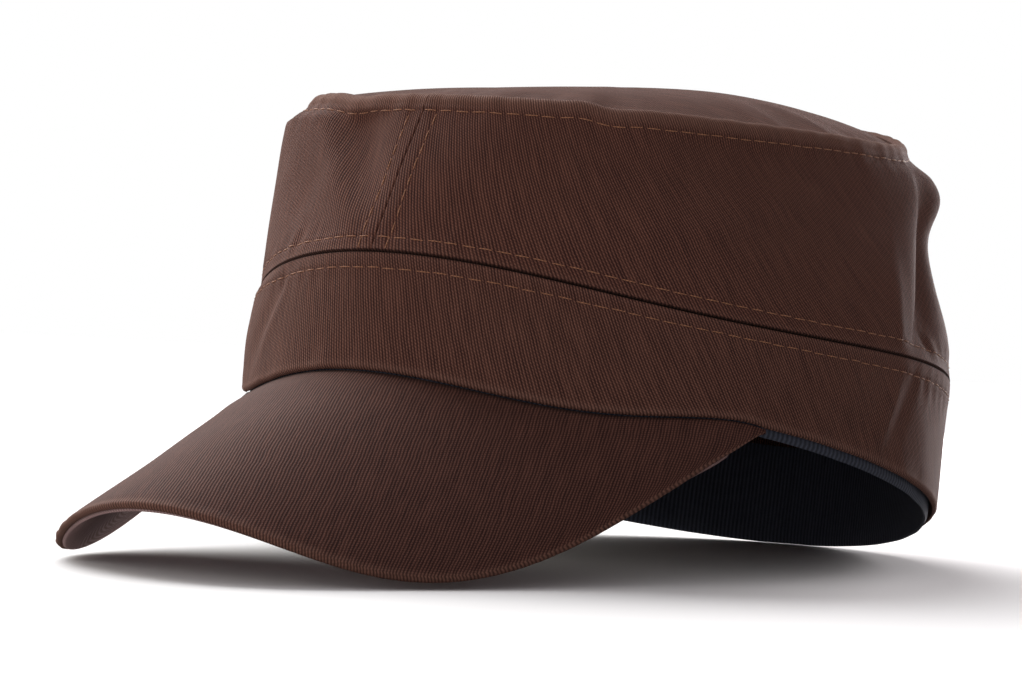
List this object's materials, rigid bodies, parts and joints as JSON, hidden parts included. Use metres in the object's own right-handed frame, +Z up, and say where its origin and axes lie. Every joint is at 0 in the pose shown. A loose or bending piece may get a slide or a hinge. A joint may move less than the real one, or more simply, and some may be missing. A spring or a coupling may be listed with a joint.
{
  "type": "soft peaked field cap",
  "caption": "Soft field cap in brown cotton twill with a flat oval top, a seamed side crown, a plain band, a curved peak and a black sweatband.",
  "frame": {"origin": "on the surface that the cap rests on, under the middle of the whole cap", "axes": "+Z up, -Y towards the front of the peak, +X towards the wearer's left"},
  "size_m": [0.1656, 0.2822, 0.1165],
  "materials": {
    "twill": "dark brown cotton twill with a fine diagonal wale and tan brown stitching",
    "sweatband_tape": "black cotton tape"
  },
  "bodies": {
    "root": {"top_panel": "twill", "crown_left": "twill", "crown_right": "twill", "band": "twill", "peak_top": "twill", "peak_underside": "twill", "sweatband": "sweatband_tape"}
  },
  "joints": []
}
